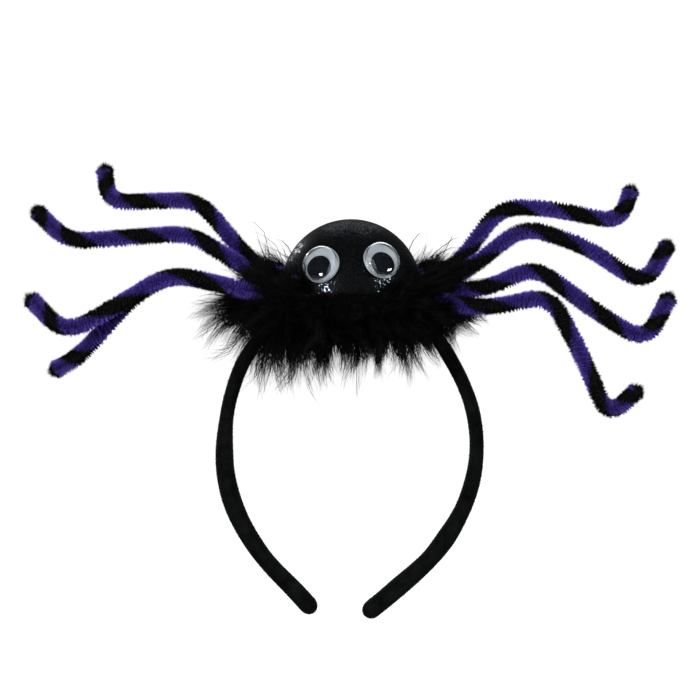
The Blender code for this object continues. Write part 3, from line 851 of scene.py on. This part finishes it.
@dataclass
class ChenilleLeg:
    """One leg: a black and a purple chenille stem twisted into a rope and bent."""

    name: str
    side: Side
    root_turn: float
    pitch_share: float
    corners: tuple
    width: float = 0.0085
    pitch: float = 0.0370
    toe_pitch: float = 0.0190
    toe_length: float = 0.0200
    turn_step: float = 40.0
    bend: float = 0.0110
    line_step: float = 0.0015
    root_rise: float = 0.0058
    root_depth: float = 0.0080
    # The dense middle's share of the rope's width, and how far its halves close up.
    core_share: float = 0.84
    closing: float = 0.0005
    fibres: int = 20000
    toe_fibres: int = 900
    toe_tuft: float = 0.0042
    # One row of the stem's pile stands out from the next by about this much.
    row: float = 0.0015

    def line(self) -> list[Vector]:
        """Return the leg's fine centre line, from its root inside the body."""
        side = self.side.value
        angle = math.radians(self.root_turn)
        depth = BODY_RADIUS - self.root_depth
        height = BODY_FOOT + self.root_rise
        turned = Vector((side * math.cos(angle), math.sin(angle), 0.0))
        corners = [turned * depth + Vector((0.0, 0.0, height)),
                   turned * BODY_RADIUS + Vector((0.0, 0.0, height))]
        for out, rise, rear in self.corners:
            corners.append(Vector((side * out * LEG_REACH, rear * LEG_REACH, BODY_FOOT + rise * LEG_REACH)))
        fine = [corners[0]]
        for before, corner, after in zip(corners, corners[1:], corners[2:]):
            inward = before - corner
            outward = after - corner
            start = corner + inward.normalized() * min(self.bend, 0.48 * inward.length)
            end = corner + outward.normalized() * min(self.bend, 0.48 * outward.length)
            for step in range(13):
                t = step / 12.0
                fine.append(start * (1 - t) ** 2 + corner * 2 * t * (1 - t) + end * t ** 2)
        fine.append(corners[-1])
        dense = []
        for a, b in zip(fine, fine[1:]):
            parts = max(int((b - a).length / self.line_step), 1)
            dense.extend(a.lerp(b, step / parts) for step in range(parts))
        dense.append(corners[-1])
        return dense

    def stations(self) -> list[Vector]:
        """Return the places along the leg where the solids have their sections."""
        line = self.line()
        turns = [0.0]
        total = sum((b - a).length for a, b in zip(line, line[1:]))
        run = 0.0
        for a, b in zip(line, line[1:]):
            length = (b - a).length
            near_toe = run > total - self.toe_length
            pitch = self.toe_pitch if near_toe else self.pitch * self.pitch_share
            run += length
            turns.append(turns[-1] + 2.0 * math.pi * length / pitch)
        count = max(int(turns[-1] / math.radians(self.turn_step)), 4)
        return [place_along(line, turns, turns[-1] * index / count) for index in range(count + 1)]

    def stem_line(self, stem: Stem) -> np.ndarray:
        """Return fine places along a stem, each as the rope's axis and the way to its middle."""
        places = np.array([tuple(place) for place in self.stations()])
        corners = np.array([tuple(vert.co) for vert in self.node(stem).data.vertices])
        outward = []
        for place in places:
            # The middle of the solid's own section there, which lies just inside its skin.
            distance = np.linalg.norm(corners - place, axis=1)
            near = np.unique(np.round(corners[distance < self.width * 0.53], 6), axis=0)
            away = near[np.linalg.norm(near - place, axis=1) > self.width * 0.44]
            outward.append((away - place).mean(axis=0))
        outward = unit(np.array(outward))
        fine = []
        for index in range(len(places) - 1):
            for step in range(6):
                t = step / 6.0
                fine.append((places[index] * (1.0 - t) + places[index + 1] * t,
                             unit(outward[index] * (1.0 - t) + outward[index + 1] * t)))
        return np.array([*fine, (places[-1], outward[-1])])

    def node(self, stem: Stem) -> Piece:
        """Return the solid of one of the leg's stems."""
        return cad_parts[f"leg_{self.name}_{stem.value}"]

    def build(self, core: dict, pile: dict) -> None:
        """Build both stems of the leg, each a soft core with pile all round.

        Args:
            core: the finish of each stem's dense middle, by stem.
            pile: the finish of each stem's fibres, by stem.
        """
        for order, stem in enumerate(Stem):
            name = f"leg_{self.name}_{stem.value}"
            fine = self.stem_line(stem)
            seed = 100 + order + 2 * sum(ord(letter) for letter in self.name)
            middle = self.middle(stem, fine[:, 0], fine[:, 1])
            # The core has no along attribute, so its finish shows only its root colour: painted shade deep
            # inside the rope.
            hand_in(middle, core[stem], node=name)
            fibre = self.pile_on(stem, fine[:, 0], fine[:, 1], seed)
            hand_in(fibre, pile[stem])

    def middle(self, stem: Stem, axis: np.ndarray, arm: np.ndarray) -> Piece:
        """Build a stem's dense middle, which the pile hides: the solid's half round, drawn in.

        Args:
            stem: the stem.
            axis: the places along the rope's axis.
            arm: at each place, the direction of this stem's middle.

        Returns:
            The middle.
        """
        deselect_all()
        piece = bpy.data.objects.new("stem_middle", self.node(stem).data.copy())
        bpy.context.scene.collection.objects.link(piece)
        edit_all(piece, (bpy.ops.mesh.remove_doubles, {"threshold": WELD}))
        for vert in piece.data.vertices:
            place = np.array(vert.co)
            nearest = np.argmin(((axis - place) ** 2).sum(axis=1))
            drawn = axis[nearest] + (place - axis[nearest]) * self.core_share
            vert.co = drawn - arm[nearest] * self.closing
        return settle(piece, f"leg_{self.name}_{stem.value}_core", 70.0)

    def pile_on(self, stem: Stem, axis: np.ndarray, arm: np.ndarray, seed: int) -> Piece:
        """Stand fibres on a stem's half of the rope, in rows, out to the rope's width.

        Args:
            stem: the stem.
            axis: the places along the rope's axis.
            arm: at each place, the direction of this stem's middle.
            seed: the seed of its chance.

        Returns:
            One mesh of all its fibres.
        """
        rng = np.random.default_rng(seed)
        count = self.fibres
        step = np.linalg.norm(np.diff(axis, axis=0), axis=1).mean()
        at = rng.uniform(0.0, len(axis) - 1.001, size=count)
        angle = rng.uniform(-1.0, 1.0, size=count) * math.radians(102.0)
        # The pile stands in slanting rows: fibres lean into their row and are longest there.
        rows = (at * step + 0.0009 * angle) / self.row + 0.45 * np.sin(at * step / 0.0041)
        rows += 0.42 * np.sin(at * step / 0.0019 + seed)
        phase = rows - np.round(rows)
        lean = -phase * self.row * rng.uniform(0.3, 0.9, size=count)
        low = at.astype(int)
        part = (at - low)[:, None]
        centre = axis[low] * (1.0 - part) + axis[low + 1] * part
        out = unit(arm[low] * (1.0 - part) + arm[low + 1] * part)
        along = unit(axis[low + 1] - axis[low])
        side = unit(np.cross(along, out))
        angle = angle[:, None]
        radial = out * np.cos(angle) + side * np.sin(angle)
        index = np.round(rows).astype(int) - int(np.round(rows).min())
        fullness = rng.uniform(0.0, 1.7, size=index.max() + 1)[index]
        longest = 0.555 + 0.022 * fullness - 0.22 * fullness * np.abs(phase)
        # A few fibres stray well past the rest.
        longest += 0.075 * (rng.uniform(size=count) < 0.05)
        reach = self.width * (longest + rng.normal(scale=0.026, size=count))[:, None]
        ends = centre + radial * reach + along * lean[:, None]
        ends = ends + along * rng.normal(scale=0.00018, size=(count, 1))
        ends = ends + side * rng.normal(scale=0.00024, size=(count, 1))
        # Near the flat side the fibres start deep, so no light shows between the stems.
        deep = np.where(np.abs(angle) > math.radians(78.0), 0.10, 0.34)
        roots = centre + radial * self.width * deep
        paths = np.stack([roots, ends], axis=1)
        widths = rng.uniform(0.00026, 0.00042, size=count)
        toe = self.toe(stem, axis[-1], unit(axis[-1] - axis[-3]), arm[-1], rng)
        paths = np.concatenate([paths, toe])
        widths = np.r_[widths, rng.uniform(0.00028, 0.00042, size=len(toe))]
        return lay_fibres(f"leg_{self.name}_{stem.value}_pile", paths, widths,
                          rng.uniform(size=len(paths)), seed + 1)

    def toe(self, stem: Stem, end: np.ndarray, along: np.ndarray, out: np.ndarray,
            rng: np.random.Generator) -> np.ndarray:
        """Spread the last fibres into a round tuft past the cut wire.

        The black stem is cut last, so its tuft stands out past the purple one's.

        Args:
            stem: the stem.
            end: the last place on the rope's axis.
            along: the rope's direction there.
            out: the direction of this stem's middle there.
            rng: the source of chance.

        Returns:
            The fibres' two places each.
        """
        count = self.toe_fibres
        over = stem is Stem.BLACK
        angle = rng.uniform(-1.0, 1.0, size=(count, 1)) * math.radians(165.0 if over else 90.0)
        lift = np.arcsin(rng.uniform(0.0, 1.0, size=(count, 1)))
        side = unit(np.cross(along, out))
        radial = out * np.cos(angle) + side * np.sin(angle)
        uneven = 1.0 + np.abs(rng.normal(scale=0.20, size=(count, 1))) - 0.10
        tips = end + radial * self.width * (0.55 if over else 0.50) * np.cos(lift) * uneven
        tuft = self.toe_tuft if over else 0.4 * self.toe_tuft
        tips = tips + along * (tuft * np.sin(lift) * uneven - 0.0016 * np.cos(lift))
        roots = end + radial * self.width * 0.25 * np.cos(lift) - along * 0.0006
        return np.stack([roots, tips], axis=1)


@dataclass
class RollingEye:
    """A stick-on eye: white card disc, clear formed cap and a loose black pupil."""

    side: Side
    azimuth: float
    height: float
    roll: float
    diameter: float = 0.0182
    back_thick: float = 0.0008
    cover_height: float = 0.0044
    wall: float = 0.00045
    side_height: float = 0.0020
    rim_width: float = 0.0002
    rim_height: float = 0.0006
    pupil_diameter: float = 0.0123
    pupil_thick: float = 0.0008

    def place(self) -> Matrix:
        """Return the eye's frame on the body: +Z out of the cloth."""
        out = toward(self.azimuth, self.height)
        across = toward(self.azimuth + 90.0, 0.0)
        here = Matrix((across, out.cross(across), out)).transposed().to_4x4()
        here.translation = Vector((0.0, 0.0, BODY_FOOT)) + out * (BODY_RADIUS + GAP)
        return here

    def turn_profile(self, name: str, profile: list, shift: tuple) -> Piece:
        """Spin a profile round the eye's axis and set it on the eye.

        Args:
            name: the piece's name.
            profile: (radius, height) places, from the axis back to the axis.
            shift: how far the piece is moved across the eye, up it and off the cloth.

        Returns:
            The turned piece, in its place.
        """
        deselect_all()
        bpy.ops.mesh.primitive_circle_add(vertices=len(profile), radius=self.diameter / 2.0)
        piece = bpy.context.object
        for vert, (radius, level) in zip(piece.data.vertices, profile):
            vert.co = (radius, 0.0, level)
        edit_all(piece, (bpy.ops.mesh.spin, {"steps": 64, "angle": 2.0 * math.pi,
                                             "center": (0.0, 0.0, 0.0), "axis": (0.0, 0.0, 1.0)}),
                 (bpy.ops.mesh.remove_doubles, {"threshold": WELD / 2.0}),
                 (bpy.ops.mesh.dissolve_degenerate, {"threshold": WELD / 2.0}),
                 (bpy.ops.mesh.normals_make_consistent, {"inside": False}))
        piece.matrix_world = self.place() @ Matrix.Translation(shift)
        return settle(piece, name, 35.0)

    def chip(self, radius: float, thick: float, edge: float) -> list:
        """Return the profile of a disc with a broken edge."""
        return [(0.0, 0.0), (radius - edge, 0.0), (radius, edge), (radius, thick - edge),
                (radius - edge, thick), (0.0, thick)]

    def build(self, white: Material, clear: Material, black: Material) -> None:
        """Build the disc, the cap and the pupil.

        Args:
            white: the disc's finish.
            clear: the cap's.
            black: the pupil's.
        """
        word = self.side.name.lower()
        rim = self.diameter / 2.0
        outer = rim - self.rim_width
        inner = outer - self.wall
        seat = self.back_thick + GAP
        back = self.turn_profile(f"eye_disc_{word}", self.chip(rim, self.back_thick, 0.0002), (0.0, 0.0, 0.0))
        hand_in(back, white, node=f"eye_back_{word}")
        crown = self.cover_height - self.side_height
        arc = [math.pi / 2.0 * index / 14.0 for index in range(15)]
        outside = [(outer * math.sin(t), self.side_height + crown * math.cos(t)) for t in arc]
        inside = [(inner * math.sin(t), self.side_height + (crown - self.wall) * math.cos(t))
                  for t in reversed(arc)]
        skirt = [(outer, self.rim_height + 0.0002), (outer + 0.0001, self.rim_height),
                 (rim, self.rim_height - 0.0001), (rim, 0.0), (inner, 0.0)]
        cap = self.turn_profile(f"eye_cap_{word}", outside + skirt + inside, (0.0, 0.0, seat))
        hand_in(cap, clear, node=f"eye_cover_{word}")
        half = self.pupil_diameter / 2.0
        throw = inner - GAP - half
        turn = math.radians(self.roll)
        pupil = self.turn_profile(f"eye_pupil_{word}", self.chip(half, self.pupil_thick, 0.00015),
                                  (throw * math.sin(turn), -throw * math.cos(turn), seat))
        hand_in(pupil, black, body=f"pupil_{word}", node=f"pupil_{word}")


@dataclass
class Studio:
    """A pale floor well below the headband, soft lamps and a long lens."""

    distance: float = 1.2
    lift: float = 10.0
    field: float = 0.350
    aim: tuple = (-0.0005, 0.0, -0.0230)

    def build(self) -> None:
        """Set the floor, the lamps, the sky and the camera."""
        self.floor()
        # The two lamps whose glints show in the eyes come first, then the soft lights.
        self.lamp("left_lamp", -37.5, 11.5, 1.4, 0.27, 14.0)
        self.lamp("right_lamp", 62.0, 14.5, 1.4, 0.25, 9.5)
        self.lamp("rim_light", -146.0, 17.0, 1.8, 0.22, 4.0)
        self.lamp("top_light", 178.0, 44.0, 1.6, 1.10, 2.4)
        # The broad fills are flagged so that no shiny piece mirrors them.
        self.lamp("front_fill", 0.0, 30.0, 1.5, 1.2, 21.0).visible_glossy = False
        self.lamp("back_fill", 180.0, 30.0, 1.6, 1.2, 10.0).visible_glossy = False
        self.sky()
        self.camera()
        bpy.context.scene.view_settings.view_transform = "Standard"

    def floor(self) -> None:
        """Lay a wide pale floor."""
        deselect_all()
        bpy.ops.mesh.primitive_plane_add(size=200.0, location=(0.0, 0.0, -0.75))
        floor = settle(bpy.context.object, "studio_floor")
        # A lit table: the paper glows evenly from below, so no shadow shows on it.
        mat, _, _ = new_material("matt_white_paper", {
            "Base Color": linear("#fbfbfb"), "Roughness": 1.0, "Specular IOR Level": 0.0,
            "Emission Color": linear("#ffffff"), "Emission Strength": 1.0})
        floor.data.materials.append(mat)
        # Black pieces don't mirror the lit paper.
        floor.visible_glossy = False
        floor.visible_diffuse = False

    def set_up(self, name: str, data: bpy.types.ID, place: Vector, aim: Vector) -> Piece:
        """Hang a lamp or a camera at a place, facing its aim, and return it."""
        item = bpy.data.objects.new(name, data)
        item.location = place
        item.rotation_euler = (aim - place).to_track_quat("-Z", "Y").to_euler()
        bpy.context.scene.collection.objects.link(item)
        return item

    def lamp(self, name: str, turn: float, lift: float, away: float, size: float, power: float) -> Piece:
        """Hang one square lamp that faces the spider.

        Args:
            name: the lamp's name.
            turn: its angle from the front, towards the viewer's right, in degrees.
            lift: its angle above the foot of the body.
            away: its distance.
            size: its side.
            power: its watts.

        Returns:
            The lamp.
        """
        data = bpy.data.lights.new(name, "AREA")
        data.shape = "SQUARE"
        data.size = size
        data.energy = power
        return self.set_up(name, data, toward(turn, lift) * away, Vector())

    def sky(self) -> None:
        """Fill the room with dim even light, behind a white that only the camera sees."""
        world = bpy.data.worlds.new("white_room")
        world.use_nodes = True
        tree = world.node_tree
        fill = tree.nodes["Background"]
        fill.inputs["Color"].default_value = linear("#ffffff")
        fill.inputs["Strength"].default_value = 0.09
        paper = add_node(tree, "ShaderNodeBackground", {"Color": linear("#ffffff"), "Strength": 1.0})
        path = add_node(tree, "ShaderNodeLightPath")
        mixed = add_node(tree, "ShaderNodeMixShader", None,
                         {0: path.outputs["Is Camera Ray"], 1: fill.outputs[0], 2: paper.outputs[0]})
        tree.links.new(mixed.outputs[0], tree.nodes["World Output"].inputs["Surface"])
        bpy.context.scene.world = world

    def camera(self) -> None:
        """Set the camera in front and a little above."""
        aim = Vector(self.aim)
        data = bpy.data.cameras.new("long_lens")
        data.sensor_width = 36.0
        data.lens = data.sensor_width * self.distance / self.field
        place = aim + toward(0.0, self.lift) * self.distance
        bpy.context.scene.camera = self.set_up("long_lens", data, place, aim)


# The legs' corners past the root: out, rise and rear, as shares of LEG_REACH.
LEGS = (ChenilleLeg("left_1", Side.LEFT, 40.0, 0.96, (
        (0.245, 0.012, 0.145), (0.335, 0.084, 0.170), (0.484, 0.256, 0.220),
        (0.778, 0.239, 0.285), (0.790, 0.345, 0.295))), ChenilleLeg("left_2", Side.LEFT, 14.0, 0.97, (
        (0.310, 0.046, 0.050), (0.412, 0.111, 0.062), (0.510, 0.166, 0.088),
        (0.895, 0.132, 0.130), (0.990, 0.228, 0.138))), ChenilleLeg("left_3", Side.LEFT, -40.0, 1.16, (
        (0.310, 0.013, -0.138), (0.416, 0.045, -0.163), (0.549, 0.079, -0.188),
        (0.678, 0.000, -0.206), (0.866, -0.106, -0.213), (0.968, 0.003, -0.213))),
    ChenilleLeg("left_4", Side.LEFT, -14.0, 1.20, (
        (0.320, -0.006, -0.050), (0.422, 0.033, -0.069), (0.553, 0.061, -0.088),
        (0.666, -0.003, -0.100), (0.843, -0.199, -0.100), (0.915, -0.236, -0.106))),
    ChenilleLeg("right_1", Side.RIGHT, 40.0, 1.00, (
        (0.258, 0.010, 0.145), (0.345, 0.063, 0.170), (0.474, 0.232, 0.220),
        (0.626, 0.226, 0.250), (0.863, 0.175, 0.285), (0.900, 0.277, 0.295))),
    ChenilleLeg("right_2", Side.RIGHT, 14.0, 1.30, (
        (0.277, 0.008, 0.050), (0.378, 0.061, 0.063), (0.540, 0.188, 0.088),
        (0.732, 0.124, 0.110), (0.929, -0.006, 0.125), (1.000, 0.121, 0.138))),
    ChenilleLeg("right_3", Side.RIGHT, -14.0, 0.91, (
        (0.322, 0.003, -0.050), (0.431, 0.015, -0.063), (0.562, 0.087, -0.088),
        (0.767, -0.063, -0.106), (0.906, -0.145, -0.125), (0.973, -0.007, -0.125))),
    ChenilleLeg("right_4", Side.RIGHT, -40.0, 1.09, (
        (0.298, -0.028, -0.138), (0.423, -0.032, -0.163), (0.603, 0.014, -0.200),
        (0.698, -0.164, -0.238), (0.777, -0.350, -0.275), (0.862, -0.266, -0.281))),)


def main() -> None:
    """Build the whole headband, then its studio."""
    logging.basicConfig(level=logging.INFO, format="%(message)s")
    Studio().build()
    velvet = VelvetFinish().build()
    # Each pile and down runs from a painted shade at its root to a painted lighter tip; the marabou's grey
    # tips stand for light through the down.
    nap = PileFinish("velvet_pile", "#020202", "#060606", "#101012", 0.9, 0.03).build()
    down = PileFinish("dyed_marabou_down", "#010101", "#020202", "#191a1a", 0.8, 0.0, 0.04).build()
    # The cores are coloured as the piles' dark roots, a painted shade inside the rope.
    core = {Stem.BLACK: PileFinish("black_chenille_core", "#010101", "#020202", "#030303").build(),
        Stem.PURPLE: PileFinish("purple_chenille_core", "#201554", "#261a62", "#2c2070").build(),}
    pile = {Stem.BLACK: PileFinish("black_chenille_pile", "#010101", "#030303", "#0c0c0d").build(),
        Stem.PURPLE: PileFinish("purple_chenille_pile", "#24186a", "#4a359a", "#866acb").build(),}
    Hoop().build(velvet, nap)
    Body().build(GlitterClothFinish().build())
    Marabou().build(down)
    for leg in LEGS:
        leg.build(core, pile)
    white = PlasticFinish("white_eye_card", "#9aa3aa", "#a2abb1", 0.4).build()
    clear = PlasticFinish("clear_pet_cap", "#ffffff", "#fbfdff", 0.03, 1.0, clear=True).build()
    black = PlasticFinish("black_pupil_styrene", "#060b14", "#080e18", 0.3, 0.08).build()
    RollingEye(Side.LEFT, -26.4, 27.2, -20.0).build(white, clear, black)
    RollingEye(Side.RIGHT, 28.0, 30.4, 0.0).build(white, clear, black)


if __name__ == "__main__":
    main()
